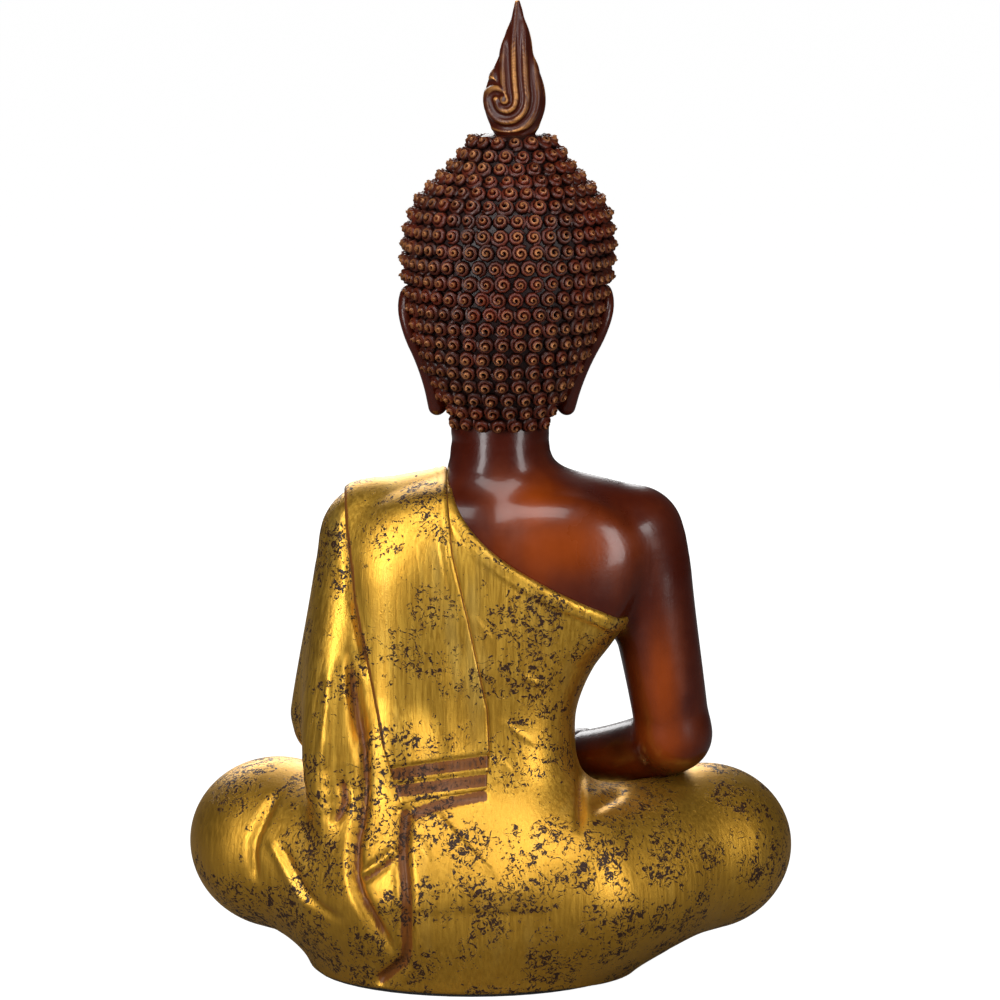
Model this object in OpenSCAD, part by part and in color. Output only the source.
// Seated meditating figure, built as a set of castings that are pinned together.
// The figure faces -Y, +Z is up, and the origin is the middle of its underside. Millimetres.

/* [Seat] */
// Width over both knees
knee_span = 248; // [215:1:300]
// Depth from the backside to the shins
seat_depth = 146; // [125:1:170]
// Width of the flat underside
base_w = 134; // [120:1:150]
// How far the base stands to the left of the knees' middle
base_x = 8; // [0:1:10]
// Radius of a knee
knee_r = 36; // [31:0.5:42]
// Radius of a hip
hip_r = 38; // [33:0.5:44]
// Height of the middle of a knee above the table
knee_z = 46; // [40:0.5:54]
// Radius of a shin at the ankle
ankle_r = 14; // [11:0.5:17]
// Height of the deck that the torso stands on
deck_z = 60; // [52:0.5:64]

/* [Torso] */
// Sideways place of the spine, because the left knee reaches further than the right one
spine_x = -4; // [-8:0.5:8]
// Place of the torso's middle from front to back
spine_y = 15; // [8:0.5:22]
// Width of the waist
waist_w = 62; // [52:1:72]
// Width of the chest at the armpits
chest_w = 98; // [86:1:112]
// Depth of the chest
chest_d = 62; // [54:1:72]
// Distance from the deck to the top of the neck
torso_h = 168; // [138:1:200]
// Diameter of the neck
neck_d = 41; // [35:0.5:47]

/* [Arms] */
// Distance from the spine to the flat face that the bare arm is pinned to
arm_face = 46; // [42:0.5:50]
// Distance from the spine to the flat face of the robe that the sleeved arm is pinned to
sleeve_face = 54; // [50:0.5:58]
// Radius of a shoulder
shoulder_r = 18.5; // [16:0.5:21]
// Radius of an elbow
elbow_r = 15; // [12.5:0.5:17.5]
// Radius of a wrist
wrist_r = 8.5; // [7:0.5:10]
// Distance from the spine to the middle of an elbow
elbow_out = 71; // [66:1:78]
// Height of the middle of an elbow above the deck
elbow_up = 36; // [32:0.5:42]
// Length of a hand from the wrist face to the fingertips
hand_len = 50; // [42:1:58]

/* [Head] */
// Width of the head under the hair
head_w = 73; // [63:1:84]
// Depth of the head under the hair
head_d = 84; // [73:1:96]
// Distance from the neck to the crown under the hair
head_h = 111; // [96:1:128]
// Sideways lean of the head for each millimetre of height
head_lean = 0.035; // [0:0.005:0.06]
// Thickness of the hair with its curls
hair_t = 6; // [4.5:0.5:7.5]

/* [Flame] */
// Width of the flame finial
flame_w = 25; // [20:0.5:30]
// Depth of the flame finial
flame_d = 20; // [16:0.5:26]
// Height of the flame finial above its seat
flame_h = 55; // [45:1:66]
// Diameter of the flame's foot
flame_foot_d = 16; // [13:0.5:19]

/* [Robe] */
// Thickness of the robe relief
robe_t = 1.6; // [1.2:0.1:2.4]
// Width of the raised band along the robe's hem
hem_band = 5; // [3:0.5:8]
// Thickness of the folded shoulder sash
sash_t = 2; // [1.4:0.1:2.8]
// Width of the folded shoulder sash
sash_w = 42; // [36:1:46]
// Depth of the hem under the bare arm, below the neck's joint face
hem_drop = 78; // [73:1:86]
// Depth below the neck's joint face where the hem turns up to the neck
hem_turn_drop = 26; // [22:1:34]
// Height of the sash's lower end at the back, above the deck
sash_end = 26; // [20:1:40]

/* [Pins and base] */
// Wall thickness of the castings
wall = 5; // [4:0.5:7]
// Diameter of the neck dowel
neck_dowel_d = 12; // [8:0.5:14]
// Diameter of the shoulder dowels
arm_dowel_d = 8; // [5:0.5:10]
// Diameter of the wrist pins
wrist_pin_d = 4; // [2.5:0.5:5]
// Diameter of the pins between the torso and the seat
waist_pin_d = 6; // [4:0.5:8]
// Diameter of the flame's peg
peg_d = 6; // [4:0.5:8]
// Length of the flame's peg below its seat
peg_l = 20; // [14:1:24]
// Thickness of the base board
board_t = 5; // [4:0.5:8]
// Thickness of the felt
felt_t = 1.5; // [1:0.1:3]
// Diameter of the base board's screws
screw_d = 3.5; // [2.5:0.5:4.5]

/* [Hidden] */
// Gap all round a glued pin, and between glued castings
glue_gap = 0.1;
// Gap all round the sliding peg
peg_gap = 0.05;
// Gap between the flame's foot and the crown that it is lowered onto
seat_gap = 0.3;
// Points round a casting's section, and rings between two of its listed sections
ring_n = 30;
ring_steps = 2;
// Facets of the balls that limbs are hulled from, outside and inside a hollow casting
ball_fn = 26;
hollow_fn = 14;
// Facets of the balls that hands and feet are hulled from, and points round the underside
small_fn = 16;
outline_n = 48;
// Facets of true round pins and bores
pin_fn = 64;
far = 400;

neck_z = deck_z + torso_h;
crown_z = neck_z + head_h + hair_t;
knee_x = knee_span / 2 - knee_r;
hip_y = seat_depth / 2 - hip_r;
shin_y = -seat_depth / 2 + ankle_r + 2;
knee_y = -12;
shoulder_x = arm_face + 13;
shoulder_z = neck_z - 45;
elbow_z = deck_z + elbow_up;
elbow_y = spine_y - 8;
wrist_x = 27;
wrist_y = spine_y - chest_d / 2 - 22;
wrist_z = deck_z + 18;
hem_left_x = 22;
base_d = seat_depth - 22;
board_w = base_w - 4 * wall;
board_d = base_d - 4 * wall;
screw_l = 14;
arm_dowel_l = 30;
post_d = screw_d + 9;
hem_low = torso_h - hem_drop;
hem_turn = torso_h - hem_turn_drop;
waist_up = (torso_h - 64) / 104;
countersink_h = 2;
wrist_pin_l = 16;
flame_x = spine_x - head_lean * (crown_z - neck_z);
peg_x = flame_x;

lacquer = [0.30, 0.09, 0.03];
gilt = [0.80, 0.58, 0.20];
hair_brown = [0.22, 0.10, 0.05];
flame_bronze = [0.50, 0.28, 0.10];
steel = [0.70, 0.70, 0.72];
pine = [0.78, 0.62, 0.42];
felt_black = [0.06, 0.06, 0.06];

// Sections: each row is [height, half width, reach to the front, reach to the back, middle y],
// with a sixth value where the left half is wider. The torso's heights run from the deck.
torso_rows = [
    [0, waist_w / 2 + 13, 36, 40, spine_y],
    [18 * waist_up, waist_w / 2 + 2, chest_d / 2, chest_d / 2 + 1, spine_y],
    [36 * waist_up, waist_w / 2, chest_d / 2 - 5, chest_d / 2 - 3, spine_y],
    [58 * waist_up, waist_w / 2 + 4, chest_d / 2 - 3, chest_d / 2 - 2, spine_y],
    [80 * waist_up, chest_w / 2 - 1, chest_d / 2, chest_d / 2, spine_y],
    [torso_h - 64, chest_w / 2 + 7, chest_d / 2 + 1, chest_d / 2, spine_y],
    [torso_h - 40, chest_w / 2 + 13, chest_d / 2 - 5, chest_d / 2 - 4, spine_y],
    [torso_h - 27, chest_w / 2 + 9, chest_d / 2 - 10, chest_d / 2 - 9, spine_y],
    [torso_h - 20, neck_d / 2 + 15, neck_d / 2 + 1, neck_d / 2 + 1, spine_y - 1],
    [torso_h - 8, neck_d / 2 + 1, neck_d / 2, neck_d / 2, spine_y - 3],
    [torso_h, neck_d / 2, neck_d / 2, neck_d / 2, spine_y - 4]];

// The robe hangs straight down from the left shoulder, so it has its own reach on that side.
robe_left = [waist_w / 2 + 20, sleeve_face + 1, sleeve_face + 2, sleeve_face + 3, sleeve_face + 4,
             sleeve_face + 6, sleeve_face + 9, sleeve_face + 5, neck_d / 2 + 19, neck_d / 2 + 3,
             neck_d / 2 + 1];
robe_rows = [for (i = [0:len(torso_rows) - 1]) let (r = torso_rows[i])
    [r[0], r[1] + robe_t, r[2] + robe_t, r[3] + robe_t, r[4], robe_left[i] + robe_t]];

// Heights run from the neck's joint face.
head_y = spine_y - 6;
head_rows = [
    [0, 0.58 * head_w / 2, 0.66 * head_d / 2, 0.56 * head_d / 2, head_y],
    [0.10 * head_h, 0.70 * head_w / 2, 0.92 * head_d / 2, 0.74 * head_d / 2, head_y],
    [0.26 * head_h, 0.86 * head_w / 2, 1.00 * head_d / 2, 0.90 * head_d / 2, head_y],
    [0.42 * head_h, 0.96 * head_w / 2, 1.01 * head_d / 2, 0.99 * head_d / 2, head_y],
    [0.58 * head_h, 1.00 * head_w / 2, 0.99 * head_d / 2, 1.00 * head_d / 2, head_y],
    [0.72 * head_h, 0.95 * head_w / 2, 0.88 * head_d / 2, 0.90 * head_d / 2, head_y],
    [0.85 * head_h, 0.71 * head_w / 2, 0.62 * head_d / 2, 0.66 * head_d / 2, head_y],
    [0.94 * head_h, 0.45 * head_w / 2, 0.40 * head_d / 2, 0.42 * head_d / 2, head_y],
    [head_h, 0.26 * head_w / 2, 0.22 * head_d / 2, 0.22 * head_d / 2, head_y]];

// Heights run from the flame's seat.
flame_rows = [
    [0, flame_foot_d / 2, flame_foot_d / 2, flame_foot_d / 2, head_y],
    [0.10 * flame_h, 0.42 * flame_w, 0.43 * flame_d, 0.43 * flame_d, head_y],
    [0.26 * flame_h, 0.50 * flame_w, 0.50 * flame_d, 0.50 * flame_d, head_y],
    [0.45 * flame_h, 0.37 * flame_w, 0.38 * flame_d, 0.38 * flame_d, head_y],
    [0.66 * flame_h, 0.21 * flame_w, 0.22 * flame_d, 0.22 * flame_d, head_y],
    [0.84 * flame_h, 0.10 * flame_w, 0.11 * flame_d, 0.11 * flame_d, head_y],
    [flame_h, 0.03 * flame_w, 0.03 * flame_d, 0.03 * flame_d, head_y]];

// One value on a smooth curve through b and c, with neighbours a and d.
function blend(a, b, c, d, t) =
    0.5 * (2 * b + (c - a) * t + (2 * a - 5 * b + 4 * c - d) * t * t + (3 * b - a - 3 * c + d) * t * t * t);

// The rows with `steps` smooth ones from each to the next.
function smooth_rows(rows, steps) = let (last = len(rows) - 1) [
    for (i = [0:last - 1], k = [0:steps - 1])
        [for (c = [0:len(rows[0]) - 1]) blend(rows[max(i - 1, 0)][c], rows[i][c], rows[i + 1][c],
                               rows[min(i + 2, last)][c], k / steps)],
    rows[last]];

// How far a section reaches sideways: c is above zero on the figure's left.
function reach_x(row, c) = len(row) > 5 && c > 0 ? row[5] : row[1];

// One ring of points: a rounded section that is `grow` larger than its row says.
function ring(row, base_z, grow, lean, n) = [
    for (i = [0:n - 1]) let (a = 360 * i / n, c = cos(a), s = sin(a))
        [spine_x - lean * row[0] + (reach_x(row, c) + grow) * sign(c) * pow(abs(c), 0.88),
         row[4] + ((s < 0 ? row[2] : row[3]) + grow) * sign(s) * pow(abs(s), 0.88),
         base_z + row[0]]];

// A closed skin through rings of n points.
module skin(rings, n) {
    last = len(rings) - 1;
    polyhedron(
        points = [for (r = rings) each r],
        faces = [
            [for (i = [0:n - 1]) i],
            for (k = [0:last - 1], i = [0:n - 1]) let (j = (i + 1) % n)
                each [[k * n + i, (k + 1) * n + i, (k + 1) * n + j], [k * n + i, (k + 1) * n + j, k * n + j]],
            [for (i = [n - 1:-1:0]) last * n + i]]);
}

module lofted(rows, base_z, grow = 0, lean = 0, n = ring_n, steps = ring_steps) {
    skin([for (r = smooth_rows(rows, steps)) ring(r, base_z, grow, lean, n)], n);
}

module torso_form(grow = 0, n = ring_n, steps = ring_steps) {
    lofted(torso_rows, deck_z, grow, 0, n, steps);
}

module robed_form(grow = 0) {
    lofted(robe_rows, deck_z, grow);
}

// Everything between the two faces that the arms are pinned to.
module between_arms(left_face) {
    translate([spine_x - arm_face, -far / 2, 0]) cube([arm_face + left_face, far, far]);
}

// The torso with the robe on it.
module dressed_form(grow = 0) {
    intersection() {
        union() {
            torso_form(grow);
            intersection() {
                robed_form(grow);
                robed_side(0, grow);
            }
        }
        between_arms(sleeve_face);
    }
}

module head_form(grow = 0, n = ring_n, steps = ring_steps) {
    lofted(head_rows, neck_z, grow, head_lean, n, steps);
}

// Joins its children into one closed skin, so that later cuts meet a single casting.
module one_skin() {
    resize([0, 0, 0]) children();
}

module ball(p, r, fn = ball_fn) {
    translate(p) sphere(r, $fn = fn);
}

// A limb that tapers from a ball at p to a ball at q.
module limb(p, rp, q, rq, fn = ball_fn) {
    hull() {
        ball(p, rp, fn);
        ball(q, rq, fn);
    }
}

// side is -1 for the figure's right and 1 for its left.
function hip(side) = [spine_x + side * 33, hip_y, hip_r];
function knee(side) = [side * knee_x, knee_y, knee_z];

module foot_outline(w, d) {
    polygon([for (i = [0:outline_n - 1]) let (a = 360 * i / outline_n)
        [base_x + w / 2 * cos(a), d / 2 * sin(a)]]);
}

// Thighs, shins and the lap between them. `less` shrinks them for the hollow.
module legs_form(less, fn) {
    for (side = [-1, 1]) limb(hip(side), hip_r - less, knee(side), knee_r - less, fn);
    limb(knee(-1) + [4, -6, -4], knee_r - 7 - less, [34, shin_y, 36], ankle_r + 2 - less, fn);
    limb(knee(1) + [-4, -6, -8], knee_r - 8 - less, [-44, shin_y, 20], ankle_r + 2 - less, fn);
    hull() {
        translate([0, 0, felt_t]) linear_extrude(0.5) foot_outline(base_w - 2 * less, base_d - 2 * less);
        for (side = [-1, 1]) {
            ball(hip(side), hip_r - less, fn);
            ball([spine_x + side * 62, 8, 40], 28 - less, fn);
            ball([spine_x + side * 30, -28, 34], 22 - less, fn);
        }
    }
}

// The posts inside the seat that the base board is screwed to.
module post_places() {
    for (p = [[-board_w / 3, 0], [board_w / 3, 0], [0, -board_d / 3], [0, board_d / 3]])
        translate([base_x + p[0], p[1], 0]) children();
}

module waist_pin_places() {
    for (side = [-1, 1]) translate([spine_x + side * (waist_w / 2 + 2), spine_y, 0]) children();
}

// Legs, lap and hips: hollow, open below where the base board closes it.
module seat_casting() color(gilt) difference() {
    one_skin() difference() {
        legs_form(0, ball_fn);
        difference() {
            union() {
                legs_form(wall, hollow_fn);
                translate([0, 0, felt_t]) linear_extrude(board_t + wall)
                    foot_outline(board_w - 2 * wall, board_d - 2 * wall);
            }
            translate([-far / 2, -far / 2, deck_z - wall]) cube([far, far, far]);
            post_places() cylinder(h = deck_z, r = post_d / 2, $fn = 24);
        }
        translate([-far / 2, -far / 2, felt_t - far]) cube([far, far, far]);
        translate([0, 0, felt_t - 1]) linear_extrude(board_t + 1)
            foot_outline(board_w + 2 * glue_gap, board_d + 2 * glue_gap);
        dressed_form(glue_gap);
        arms_form(glue_gap);
        hands_form(glue_gap);
        feet_form(glue_gap);
    }
    waist_pin_places() translate([0, 0, deck_z - wall - 1])
        cylinder(h = wall + 2, r = waist_pin_d / 2 + glue_gap, $fn = pin_fn);
    post_places() translate([0, 0, felt_t])
        cylinder(h = screw_l + 2, r = screw_d / 2 + glue_gap, $fn = pin_fn);
}

module arm_dowel_places() {
    for (x = [-arm_face, sleeve_face - 4]) translate([spine_x + x, spine_y, shoulder_z]) rotate([0, 90, 0])
        children();
}

module arm_dowel_bores() {
    arm_dowel_places()
        cylinder(h = arm_dowel_l + 1, r = arm_dowel_d / 2 + glue_gap, center = true, $fn = pin_fn);
}

// Bare upper body and neck, and the core under the robe. The shoulders end in flat pinned faces.
module torso_casting() color(lacquer) difference() {
    one_skin() difference() {
        intersection() {
            torso_form();
            between_arms(arm_face);
        }
        difference() {
            intersection() {
                translate([0, 0, -1]) torso_form(-wall, 16, 1);
                translate([spine_x, 0, deck_z - 2]) linear_extrude(torso_h - 56)
                    square([2 * (arm_face - wall - 8), far], center = true);
            }
            waist_pin_places() translate([0, 0, deck_z]) cylinder(h = 2 * wall, r = waist_pin_d, $fn = 16);
        }
    }
    arm_dowel_bores();
    translate([spine_x, spine_y - 4, neck_z - 20])
        cylinder(h = 21, r = neck_dowel_d / 2 + glue_gap, $fn = pin_fn);
    waist_pin_places() translate([0, 0, deck_z - 1])
        cylinder(h = wall + 2, r = waist_pin_d / 2 + glue_gap, $fn = pin_fn);
}

// The hem's height above the deck, from under the bare arm up to where it turns to the neck.
function hem_up(x) = hem_low + (hem_turn - hem_low) * pow((x + arm_face) / (arm_face + hem_left_x), 2);

// Everything on the robe's side of the hem.
module robed_side(low_z, grow = 0) {
    translate([spine_x, far / 2, deck_z]) rotate([90, 0, 0]) linear_extrude(far)
        polygon([[-far, low_z], [-far, hem_low + grow],
                 for (i = [0:12]) let (x = -arm_face + i * (arm_face + hem_left_x) / 12)
                     [x, hem_up(x) + grow],
                 [hem_left_x - grow, torso_h - 6], [far, torso_h - 6], [far, low_z]]);
}

// The gilded robe that wraps the torso and leaves the right shoulder bare.
module robe_shell() color(gilt) difference() {
    one_skin() difference() {
        intersection() {
            union() {
                intersection() {
                    robed_form();
                    robed_side(0);
                }
                difference() {
                    intersection() {
                        robed_form(0.4 * robe_t);
                        robed_side(0);
                    }
                    robed_side(-1, -hem_band);
                }
            }
            between_arms(sleeve_face);
        }
        intersection() {
            torso_form(glue_gap);
            between_arms(arm_face + glue_gap);
        }
    }
    arm_dowel_bores();
}

// The sash slants: it starts at the neck and ends lower down beside the spine.
module sash_side() {
    translate([spine_x, far / 2, deck_z]) rotate([90, 0, 0]) linear_extrude(far)
        polygon([[4, sash_end], [4 + sash_w, sash_end],
                 [sleeve_face + 1, hem_turn - 30], [sleeve_face + 1, torso_h - 8],
                 [hem_left_x + 1, torso_h - 8], [hem_left_x, torso_h - 30], [14, hem_low]]);
}

// The folded sash over the left shoulder, down the chest and the back.
module shoulder_sash() color(gilt) one_skin() difference() {
    intersection() {
        robed_form(0.4 * robe_t + sash_t);
        sash_side();
        between_arms(sleeve_face);
    }
    robed_form(0.4 * robe_t + glue_gap);
}

function shoulder(side) = [spine_x + side * shoulder_x, spine_y, shoulder_z];
function elbow(side) = [spine_x + side * elbow_out, elbow_y, elbow_z];
function wrist(side) = [spine_x + side * wrist_x, wrist_y, wrist_z + (side < 0 ? 4 : -4)];

module arm_form(side, grow = 0) {
    face = side < 0 ? spine_x - arm_face - far : spine_x + sleeve_face;
    intersection() {
        union() {
            hull() {
                ball(shoulder(side), shoulder_r + grow);
                ball(elbow(side), elbow_r + grow);
                if (side > 0) ball([spine_x + sleeve_face + 7, spine_y + 5, deck_z + 23], 12 + grow);
            }
            limb(shoulder(side), shoulder_r + grow, [spine_x + side * 40, spine_y, neck_z - 37], 14 + grow);
            limb(elbow(side), elbow_r + grow, wrist(side), wrist_r + grow);
        }
        union() {
            translate([face, -far / 2, 0]) cube([far, far, far]);
            translate([-far / 2, -far, 0]) cube([far, far + spine_y - chest_d / 2 + 2, shoulder_z - 30]);
        }
    }
}

module arms_form(grow) {
    for (side = [-1, 1]) arm_form(side, grow);
}

// The wrist's joint face stands across the forearm, a little short of the wrist ball's middle.
module beyond_wrist(side) {
    translate(wrist(side)) rotate([0, 0, atan2(elbow(side)[1] - wrist_y, elbow(side)[0] - wrist(side)[0])])
        translate([-far, -far / 2, -far / 2]) cube([far, far, far]);
}

module wrist_pin_place(side) {
    translate(wrist(side)) rotate([0, 0, atan2(elbow(side)[1] - wrist_y, elbow(side)[0] - wrist(side)[0])])
        rotate([0, 90, 0]) children();
}

module wrist_bore(side) {
    wrist_pin_place(side)
        cylinder(h = wrist_pin_l + 1, r = wrist_pin_d / 2 + glue_gap, center = true, $fn = pin_fn);
}

module arm_casting(side) difference() {
    one_skin() difference() {
        arm_form(side);
        dressed_form(glue_gap);
        beyond_wrist(side);
    }
    arm_dowel_bores();
    wrist_bore(side);
}

// The bare right arm.
module right_arm() color(lacquer) arm_casting(-1);

// The left arm in its sleeve, with the cloth that hangs between the arm and the back.
module left_arm() color(gilt) arm_casting(1);

// A hand lying palm up, with its fingers towards the other side.
module hand_form(side, grow = 0) {
    w = wrist(side);
    tip = [spine_x - side * (hand_len - wrist_x), wrist_y - 8, w[2] - 1];
    hull() {
        ball(w, wrist_r - 0.5 + grow, small_fn);
        for (dy = [-8, 7]) ball(w + [-side * 0.36 * hand_len, dy - 3, -1], 6 + grow, small_fn);
    }
    hull() {
        for (dy = [-8, 7]) ball(w + [-side * 0.36 * hand_len, dy - 3, -1], 6 + grow, small_fn);
        for (dy = [-5, 5]) ball(tip + [0, dy, 0], 3.4 + grow, small_fn);
    }
}

module hands_form(grow) {
    for (side = [-1, 1]) hand_form(side, grow);
}

module hand_casting(side) difference() {
    one_skin() difference() {
        intersection() {
            hand_form(side);
            beyond_wrist(side);
        }
        if (side > 0) hand_form(-1, glue_gap);
        dressed_form(glue_gap);
    }
    wrist_bore(side);
}

// The right hand lies on the left one.
module right_hand() color(lacquer) hand_casting(-1);

module left_hand() color(lacquer) hand_casting(1);

// A bare foot with its sole up: the right one on the left leg, the left one under the right leg.
module foot_form(side, grow = 0) {
    board_top = felt_t + board_t;
    heel = side < 0 ? [28, shin_y + 18, deck_z - 8] : [-30, shin_y + 6, board_top + 11];
    toes = side < 0 ? [74, shin_y + 14, deck_z - 4] : [-66, shin_y + 12, board_top + 12];
    hull() {
        ball(heel, 9.5 + grow, small_fn);
        for (dy = [-6, 6]) ball(toes + [0, dy, 0], 6 + grow, small_fn);
    }
}

module feet_form(grow) {
    for (side = [-1, 1]) foot_form(side, grow);
}

module foot_casting(side) one_skin() difference() {
    foot_form(side);
    hands_form(glue_gap);
}

module right_foot() color(lacquer) foot_casting(-1);

module left_foot() color(lacquer) foot_casting(1);

function head_x(z) = spine_x - head_lean * (z - neck_z);

// A long ear: its rim, and its lobe that hangs to the jaw.
module ear_form(side, grow = 0) {
    rim = [head_x(neck_z + 52) + side * (head_w / 2 + 4), head_y + 2, neck_z + 52];
    bend = [head_x(neck_z + 34) + side * (head_w / 2 - 0.5), head_y + 5, neck_z + 34];
    lobe = [head_x(neck_z + 10) + side * (head_w / 2 - 8), head_y + 2, neck_z + 9];
    limb(rim, 4 + grow, bend, 3.6 + grow);
    limb(bend, 3.6 + grow, lobe, 4.4 + grow);
}

// Skull, face and ears, hollow, with a solid crown that holds the flame's socket.
module head_casting() color(lacquer) difference() {
    one_skin() union() {
        head_form();
        for (side = [-1, 1]) ear_form(side);
        limb([head_x(neck_z + 34), head_y - head_d / 2 + 3, neck_z + 34], 4.5,
             [head_x(neck_z + 56), head_y - head_d / 2 + 2, neck_z + 56], 2.5);
    }
    translate([head_x(neck_z + 56), head_y, neck_z + 56]) sphere(r = head_w / 2 - wall - 3, $fn = pin_fn);
    translate([spine_x, spine_y - 4, neck_z - 1])
        cylinder(h = 34, r = neck_dowel_d / 2 + glue_gap, $fn = pin_fn);
    peg_bore(peg_gap);
}

module peg_bore(gap) {
    translate([peg_x, head_y, crown_z - peg_l - 1])
        cylinder(h = peg_l + 2, r = peg_d / 2 + gap, $fn = pin_fn);
}

// The face's opening in the hair, as seen from the front.
module face_opening() {
    translate([spine_x, head_y - 7, neck_z - 10]) rotate([90, 0, 0]) linear_extrude(far)
        hull() {
            translate([-head_lean * 60, 0.60 * head_h + 10])
                resize([0.90 * head_w, 0.42 * head_h]) circle(20, $fn = 32);
            translate([0, 0.1 * head_h]) square([1.1 * head_w, 12], center = true);
        }
}

// The cap of curled hair. It comes down to the neck behind and leaves the face open.
module hair_cap() color(hair_brown) difference() {
    one_skin() difference() {
        head_form(hair_t);
        head_form(glue_gap);
        translate([0, 0, crown_z - hair_t - far / 2 - head_h + 1]) cube([far, far, far], center = true);
        face_opening();
        for (side = [-1, 1]) ear_form(side, glue_gap);
        translate([0, 0, crown_z - seat_gap + far / 2]) cube([far, far, far], center = true);
    }
    peg_bore(1);
}

// The flame above the crown. It lifts out with its peg.
module flame_finial() color(flame_bronze) difference() {
    one_skin() skin([for (r = smooth_rows(flame_rows, ring_steps))
        [for (p = ring(r, crown_z, 0, head_lean, 24)) p + [flame_x - spine_x, 0, 0]]], 24);
    translate([peg_x, head_y, crown_z - 1]) cylinder(h = 11, r = peg_d / 2, $fn = pin_fn);
}

module finial_peg() color(steel) {
    translate([peg_x, head_y, crown_z - peg_l]) cylinder(h = peg_l + 10, r = peg_d / 2, $fn = pin_fn);
}

module neck_dowel() color(steel) {
    translate([spine_x, spine_y - 4, neck_z - 20]) cylinder(h = 50, r = neck_dowel_d / 2, $fn = pin_fn);
}

module shoulder_dowels() color(steel) {
    arm_dowel_places() cylinder(h = arm_dowel_l, r = arm_dowel_d / 2, center = true, $fn = pin_fn);
}

module wrist_pins() color(steel) {
    for (side = [-1, 1]) wrist_pin_place(side)
        cylinder(h = wrist_pin_l, r = wrist_pin_d / 2, center = true, $fn = pin_fn);
}

module waist_pins() color(steel) {
    waist_pin_places() translate([0, 0, deck_z - wall])
        cylinder(h = 2 * wall, r = waist_pin_d / 2, $fn = pin_fn);
}

// The board that closes the seat, with countersunk holes.
module base_board() color(pine) difference() {
    translate([0, 0, felt_t]) linear_extrude(board_t) foot_outline(board_w, board_d);
    post_places() translate([0, 0, felt_t - 1])
        cylinder(h = board_t + 2, r = screw_d / 2 + glue_gap, $fn = pin_fn);
    post_places() translate([0, 0, felt_t])
        cylinder(h = countersink_h, r1 = screw_d + glue_gap, r2 = screw_d / 2 + glue_gap, $fn = pin_fn);
}

module board_screws() color(steel) post_places() {
    translate([0, 0, felt_t]) cylinder(h = countersink_h, r1 = screw_d, r2 = screw_d / 2, $fn = pin_fn);
    translate([0, 0, felt_t + 1]) cylinder(h = screw_l, r = screw_d / 2, $fn = pin_fn);
}

module felt_pad() color(felt_black) {
    linear_extrude(felt_t) foot_outline(base_w - 4, base_d - 4);
}

seat_casting();
torso_casting();
robe_shell();
shoulder_sash();
right_arm();
left_arm();
right_hand();
left_hand();
right_foot();
left_foot();
head_casting();
hair_cap();
flame_finial();
finial_peg();
neck_dowel();
shoulder_dowels();
wrist_pins();
waist_pins();
base_board();
board_screws();
felt_pad();
